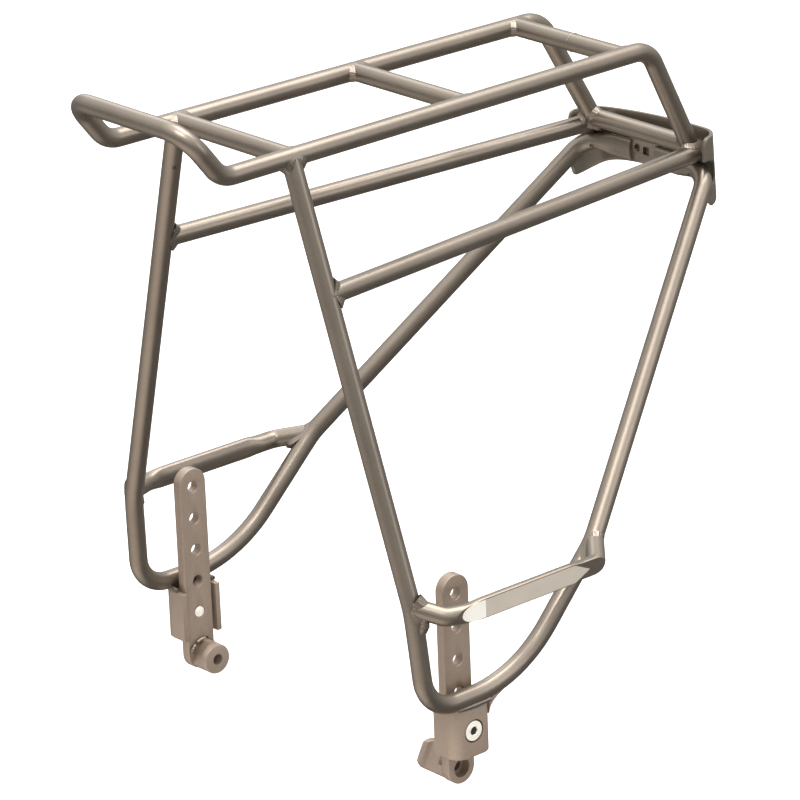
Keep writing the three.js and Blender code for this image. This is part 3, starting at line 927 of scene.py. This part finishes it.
def channel_outline():
    """The bracket seen from above: a channel of bent sheet that is open towards the wheel."""
    front, rear = BRACKET_FRONT_Y, BRACKET_REAR_Y
    outside = BRACKET_CORNER
    inside = outside - BRACKET_SHEET
    cx = BRACKET_WEB_X - outside
    quarter = math.pi / 2
    outline = [(BRACKET_INNER_X, front)]
    outline += circle(cx, front + outside, outside, 14, -quarter, quarter)
    outline += circle(cx, rear - outside, outside, 14, 0, quarter)
    outline += [(BRACKET_INNER_X, rear), (BRACKET_INNER_X, rear - BRACKET_SHEET)]
    outline += circle(cx, rear - outside, inside, 12, quarter, -quarter)
    outline += circle(cx, front + outside, inside, 12, 0, -quarter)
    return outline + [(BRACKET_INNER_X, front + BRACKET_SHEET)]


def build_bracket(side, matrix):
    """The channel that the height bar slides in, with the boss behind its bolt."""
    height = BRACKET_TOP_Z - BRACKET_BOTTOM_Z
    place = Matrix.Translation((0, 0, BRACKET_BOTTOM_Z + height / 2))
    piece = outline_plate(f"clamp_bracket_{side}", channel_outline(), [], height, 0.45, place)
    web = BRACKET_WEB_X
    hole = BOLT_HOLE_RADIUS
    mouth = BOLT_HEAD_RADIUS + 0.15
    seat = [(0, web - 6), (hole, web - 6), (hole, web - 5), (mouth, web - 3.2)]
    seat += [(mouth, web + 2), (0, web + 2)]
    cut(piece, [lathe("hole", seat)])
    to_side(piece, side)
    finish_piece(piece, "frame", FOOT_LACQUER, [f"foot_bracket_{side}"], 30)
    inner_x, outer_x = FOOT_OUTER_X + 0.4, web - 2.4
    boss = [(hole, inner_x), (BOSS_RADIUS - 0.4, inner_x), (BOSS_RADIUS, inner_x + 0.4)]
    boss += [(BOSS_RADIUS, outer_x), (hole, outer_x)]
    build_ring(f"clamp_boss_{side}", boss, matrix, FOOT_LACQUER)
    build_bracket_welds(side, matrix)
    build_gusset(side)


def build_bracket_welds(side, matrix):
    """Beads where the leg sits in the bracket's open top."""
    seat = [(y, SEAT_Z + SEAT_CURVE * (y - SEAT_Y) ** 2) for y in range(-10, 13)]
    points = [matrix @ Vector((BRACKET_WEB_X - 0.4, y, z)) for y, z in seat]
    bead(f"weld_bracket_web_{side}", points, BRACKET_SIDE_BEAD)
    for end, y in (("rear", BRACKET_REAR_Y - 0.6), ("front", BRACKET_FRONT_Y + 0.6)):
        points = [matrix @ Vector((x, y, SEAT_Z + 0.8)) for x in range(109, 122)]
        bead(f"weld_bracket_{end}_{side}", points, BRACKET_END_BEAD)


def build_gusset(side):
    """A small hollow-edged web between the bracket's rear edge and the rising leg."""
    base_y, base_z = BRACKET_REAR_Y - 1.5, 30
    tip_y, tip_z = 25, 41.5
    steps = 12
    outline = []
    for i in range(steps + 1):
        t = i / steps
        outline.append((base_y + (tip_y - base_y) * t**1.7, base_z + (tip_z - base_z) * t**0.75))
    outline += [(tip_y - 1, tip_z + 2), (base_y, tip_z + 2)]
    place = Matrix.Translation((GUSSET_X, 0, 0)) @ UPRIGHT
    piece = outline_plate(f"bracket_gusset_{side}", outline, [], GUSSET_SHEET, 0.5, place)
    to_side(piece, side)
    finish_piece(piece, "frame", FOOT_LACQUER, smooth_angle=32)


def build_bolt(side, matrix):
    """The countersunk bolt, with painted shade: a dark disc deep in its socket and a dark ring round its
    head.
    """
    web = BRACKET_WEB_X
    end_x = FOOT_OUTER_X + 0.35
    r = BOLT_HEAD_RADIUS - 0.8
    profile = [(0, end_x), (2.5, end_x), (3, end_x + 0.45), (3, web - 4.6)]
    profile += [(r - 0.1, web - 2.8), (r, web - 2.6), (r, web - 0.35)]
    profile += [(r - 0.3, web - 0.05), (0, web - 0.05)]
    piece = lathe(f"bolt_{side}", profile, count=64)
    socket_ends = [Vector((x, 0, FIRST_HOLE_Z)) for x in (web - 3.4, web + 2)]
    socket = rod("socket", *socket_ends, BOLT_SOCKET_RADIUS, 6)
    mouth = [(0, web - 0.6), (2.2, web - 0.6), (2.8, web + 0.3), (0, web + 0.3)]
    cut(piece, [socket, lathe("mouth", mouth, count=32)])
    to_side(piece, side)
    finish_piece(piece, "frame", ZINC, [f"clamp_bolt_{side}"], 30)
    # Painted shade: a near-black disc at the bottom of the hexagon socket.
    profile = [(0, web - 3.2), (2.5, web - 3.2), (2.5, web - 0.8)]
    profile += [(1.1, web - 1), (0.7, web - 1.6), (0, web - 1.6)]
    bottom = lathe(f"bolt_socket_painted_shade_{side}", profile, matrix=matrix, count=6)
    finish_piece(bottom, "frame", PAINTED_SHADE_BLACK, smooth_angle=30)
    # Painted shade: a near-black ring in the narrow gap between the head and its seat.
    gap_shade_outline = box_outline(r + 0.08, web - 2.4, BOLT_HEAD_RADIUS + 0.1, web - 0.8)
    build_ring(f"bolt_gap_painted_shade_{side}", gap_shade_outline, matrix, PAINTED_SHADE_BLACK)


def build_nut(side, matrix):
    """The nut pressed into the lowest hole, open towards the bolt."""
    inner_x, outer_x = FOOT_INNER_X - 0.4, FOOT_OUTER_X - 0.35
    r = HOLE_RADIUS - 0.2
    profile = [(0, inner_x), (r * 0.55, inner_x), (r * 0.85, inner_x + 0.15), (r, inner_x + 0.7)]
    profile += [(r, outer_x), (r * 0.7, outer_x), (r * 0.7, inner_x + 2), (0, inner_x + 2)]
    piece = lathe(f"nut_{side}", profile, matrix=matrix)
    finish_piece(piece, f"foot_{side}", ZINC, [f"clamp_nut_{side}"], 30)


# ---- rear shield and lamp plate ------------------------------------------------------


def shield_plan(offset, count=36):
    """The band's line seen from above, at a distance inside its outer face."""
    half = SHIELD_HALF_WIDTH - offset
    back = SHIELD_BACK_Y - offset
    corner = SHIELD_CORNER - offset
    cx, cy = SHIELD_HALF_WIDTH - SHIELD_CORNER, SHIELD_BACK_Y - SHIELD_CORNER
    plan = [(half, SHIELD_END_Y)]
    plan += circle(cx, cy, corner, count, 0, math.pi / 2)
    plan += [(cx - 2 * cx * i / 30, back) for i in range(1, 30)]
    plan += circle(-cx, cy, corner, count, math.pi / 2, math.pi / 2)
    plan.append((-half, SHIELD_END_Y))
    return plan


def shield_edges(x, from_end):
    """The band's lower and upper edge at a place: arched below, crowned above, round at its ends."""
    share = abs(x) / SHIELD_HALF_WIDTH
    short = max(SHIELD_TAIL_RADIUS - from_end, 0)
    inset = SHIELD_TAIL_RADIUS - math.sqrt(SHIELD_TAIL_RADIUS**2 - short**2)
    low = SHIELD_BOTTOM_Z + SHIELD_ARCH_RISE * (1 - share**4) + inset
    high = SHIELD_TOP_Z + SHIELD_CROWN - SHIELD_DROOP * share**2 - inset
    return low, high


def build_shield():
    """The band of bent sheet behind the rear tube, with a fork round each leg."""
    outer, inner = shield_plan(0), shield_plan(SHIELD_SHEET)
    travelled = [0.0]
    for a, b in zip(outer, outer[1:]):
        travelled.append(travelled[-1] + math.dist(a, b))
    rows = 14
    verts, faces = [], []
    for plan in (outer, inner):
        for (x, y), distance in zip(plan, travelled):
            low, high = shield_edges(x, min(distance, travelled[-1] - distance))
            verts += [Vector((x, y, low + (high - low) * k / rows)) for k in range(rows + 1)]
    columns = len(outer)
    step = rows + 1
    base = columns * step
    for i in range(columns - 1):
        for k in range(rows):
            a, b = i * step + k, (i + 1) * step + k
            faces.append((a, b, b + 1, a + 1))
            faces.append((base + a, base + a + 1, base + b + 1, base + b))
        a, b = i * step, (i + 1) * step
        faces.append((a, base + a, base + b, b))
        faces.append((a + rows, b + rows, base + b + rows, base + a + rows))
    for i, order in ((0, 1), (columns - 1, -1)):
        for k in range(rows):
            a = i * step + k
            faces.append((a, a + 1, base + a + 1, base + a)[::order])
    piece = new_object("rear_guard", verts, faces)
    close_seams(piece.data)
    fork = slot_outline(SHIELD_END_Y - FORK_DEPTH, SHIELD_BACK_Y - FORK_DEPTH, FORK_Z, FORK_RADIUS)
    far_x = SHIELD_HALF_WIDTH + 6
    reaches = ((FORK_INNER_X, far_x), (-far_x, -FORK_INNER_X))
    cut(piece, [prism("fork", fork, UPRIGHT, low, high) for low, high in reaches])
    centre = Vector((0, 0, (SHIELD_TOP_Z + SHIELD_BOTTOM_Z) / 2 * MM))
    turn = Matrix.Rotation(SHIELD_TILT, 4, "Y")
    piece.data.transform(Matrix.Translation(centre) @ turn @ Matrix.Translation(-centre))
    bevel(piece, 0.5, 2, 50)
    finish_piece(piece, "frame", SHIELD_LACQUER, ["rear_shield"], 38)


def build_lamp_plate():
    """The plate between the legs' inner ends, with a round hole and a square one."""
    half, bottom, top = LAMP_PLATE_HALF_WIDTH, LAMP_PLATE_BOTTOM_Z, LAMP_PLATE_TOP_Z
    flat, shoulder = half - LAMP_PLATE_CHAMFER_X, top - LAMP_PLATE_CHAMFER_Z
    outline = [(-half, bottom), (half, bottom), (half, shoulder)]
    outline += [(flat, top), (-flat, top), (-half, shoulder)]
    holes = [circle(*LAMP_PLATE_HOLE), box_outline(*LAMP_PLATE_SQUARE)]
    place = Matrix.Translation((0, LAMP_PLATE_Y, 0)) @ FRONTAL
    piece = outline_plate("lamp_mount", outline, holes, LAMP_PLATE_SHEET, 0.4, place)
    finish_piece(piece, "frame", FRAME_LACQUER, ["lamp_plate"], 32)


# ---- the rack ------------------------------------------------------------------------

build_deck()
for place_name, bar_y in BAR_Y.items():
    bar = f"crossbar_{place_name}"
    build_cross_tube(bar, bar_y, DECK_HEIGHT, deck_half_width(bar_y), f"deck_{bar}")
build_cross_tube("rear_tube", REAR_TUBE_Y, REAR_TUBE_Z, REAR_TUBE_REACH, "rear_cross_tube")
for side_name, side_matrix in SIDES:
    build_lower_rail(side_name, side_matrix)
    build_side_leg(side_name, side_matrix)
    build_side_brace(side_name)
    build_foot_plate(side_name)
    build_standoff(side_name, side_matrix)
    build_bracket(side_name, side_matrix)
    build_bolt(side_name, side_matrix)
    build_nut(side_name, side_matrix)
build_shield()
build_lamp_plate()
build_welds()

# ---- floor, light and camera, in metres ------------------------------------------------

FLOOR_HALF_SIZE = 6
FLOOR_CLEARANCE = 0.004

# Brightness of the dome at a height, from -1 straight down to 1 straight up.
DOME_LEVELS = ((-0.45, 0.07), (-0.05, 0.15), (0.12, 0.24), (0.5, 0.42), (0.85, 0.8))
DOME_BOTTOM = (0.05, 0.048, 0.045, 1)
DOME_TOP = (1, 0.99, 0.97, 1)
DOME_STRENGTH = 2.2
# Light that the floor in front of the rack throws back.
FRONT_FLOOR_GLOW = (1.1, 0.99, 0.88, 1)

LIGHT_TARGET = (0, 0.07, 0.17)

CAMERA_TURN = math.radians(49.726)
CAMERA_TILT = math.radians(20.572)
CAMERA_ROLL = math.radians(-2.297)
CAMERA_PLACE = (1.8801, -1.5309, 1.0851)
CAMERA_LENS = 220.6


def build_floor():
    """A pale floor, low enough for the feet to slide all the way down."""
    drop = max(joint["range_m"][1] for joint in frame["record"]["behaviour"]["joints"])
    level = cad_box[0][2] - drop - FLOOR_CLEARANCE
    half = FLOOR_HALF_SIZE
    corners = [(x, y, level) for x, y in box_outline(-half, -half, half, half)]
    mesh = bpy.data.meshes.new("floor")
    mesh.from_pydata(corners, [], [(0, 1, 2, 3)])
    floor = bpy.data.objects.new("floor", mesh)
    bpy.context.scene.collection.objects.link(floor)
    nodes = Nodes("floor_paper")
    paper = nodes.ramp(nodes.noise(3, 3), (0.93, 0.93, 0.93, 1), (0.96, 0.96, 0.955, 1))
    nodes.surface(Base_Color=paper, Roughness=0.85, Specular_IOR_Level=0.1)
    mesh.materials.append(nodes.material)
    floor.visible_glossy = False


def add_area_light(name, at, size, power, colour=(1, 1, 1)):
    data = bpy.data.lights.new(name, "AREA")
    data.shape = "RECTANGLE"
    data.size, data.size_y = size
    data.energy = power
    data.color = colour
    lamp = bpy.data.objects.new(name, data)
    lamp.location = at
    lamp.rotation_euler = (Vector(LIGHT_TARGET) - Vector(at)).to_track_quat("-Z", "Y").to_euler()
    bpy.context.scene.collection.objects.link(lamp)


def build_world():
    """A studio dome: dark below and towards the horizon, bright overhead, plain white to the camera."""
    world = bpy.data.worlds.new("studio")
    world.use_nodes = True
    tree = world.node_tree
    direction = add_node(tree, "ShaderNodeTexCoord").outputs["Generated"]
    parts = add_node(tree, "ShaderNodeSeparateXYZ", {"Vector": direction}).outputs
    height = add_node(tree, "ShaderNodeMapRange", {"Value": parts["Z"], "From Min": -1})
    dome = add_node(tree, "ShaderNodeValToRGB", {"Fac": height.outputs[0]})
    stops = dome.color_ramp.elements
    stops[0].position, stops[0].color = 0, DOME_BOTTOM
    stops[1].position, stops[1].color = 1, DOME_TOP
    for rise, level in DOME_LEVELS:
        stops.new((rise + 1) / 2).color = (level, level, level * 0.98, 1)

    down_inputs = {"Value": parts["Z"], "From Min": -0.1, "From Max": -1}
    down = add_node(tree, "ShaderNodeMapRange", down_inputs).outputs[0]
    forward_inputs = {"Value": parts["Y"], "From Min": 0, "From Max": -1}
    forward = add_node(tree, "ShaderNodeMapRange", forward_inputs).outputs[0]
    glow = add_node(tree, "ShaderNodeMath", {0: down, 1: forward}, operation="MULTIPLY").outputs[0]
    lit_inputs = {"Fac": glow, "Color1": dome.outputs[0], "Color2": FRONT_FLOOR_GLOW}
    lit = add_node(tree, "ShaderNodeMixRGB", lit_inputs, blend_type="ADD").outputs[0]

    by_camera = add_node(tree, "ShaderNodeLightPath").outputs["Is Camera Ray"]
    white = shade((1, 1, 1), 1 / DOME_STRENGTH)
    seen = add_node(tree, "ShaderNodeMixRGB", {"Fac": by_camera, "Color1": lit, "Color2": white})
    background = tree.nodes["Background"].inputs
    feed(tree, background["Color"], seen.outputs[0])
    feed(tree, background["Strength"], DOME_STRENGTH)
    bpy.context.scene.world = world


def build_camera():
    """The viewing direction as turn, tilt and roll; the camera stands far off with a long lens."""
    level = math.cos(CAMERA_TILT)
    back = Vector((math.sin(CAMERA_TURN) * level, -math.cos(CAMERA_TURN) * level, math.sin(CAMERA_TILT)))
    right = (-back).cross(Vector((0, 0, 1))).normalized()
    up = right.cross(-back)
    rolled_right = right * math.cos(CAMERA_ROLL) + up * math.sin(CAMERA_ROLL)
    rolled_up = up * math.cos(CAMERA_ROLL) - right * math.sin(CAMERA_ROLL)
    data = bpy.data.cameras.new("camera")
    data.sensor_width = 36
    data.lens = CAMERA_LENS
    data.clip_end = 30
    camera = bpy.data.objects.new("camera", data)
    axes = Matrix((rolled_right, rolled_up, back)).transposed()
    camera.matrix_world = Matrix.Translation(CAMERA_PLACE) @ axes.to_4x4()
    bpy.context.scene.collection.objects.link(camera)
    bpy.context.scene.camera = camera


build_floor()
build_world()
add_area_light("key", (0.9, -1.1, 2.4), (1.2, 1.0), 22, (1, 0.985, 0.96))
add_area_light("overhead", (0.1, 0.9, 2.6), (1.8, 1.8), 37, (1, 0.99, 0.975))
add_area_light("fill", (2.2, 1.2, 1.0), (1.0, 1.6), 6)
add_area_light("rim", (-1.8, 0.9, 1.6), (0.8, 1.6), 5)
bpy.context.scene.view_settings.view_transform = "Standard"
build_camera()
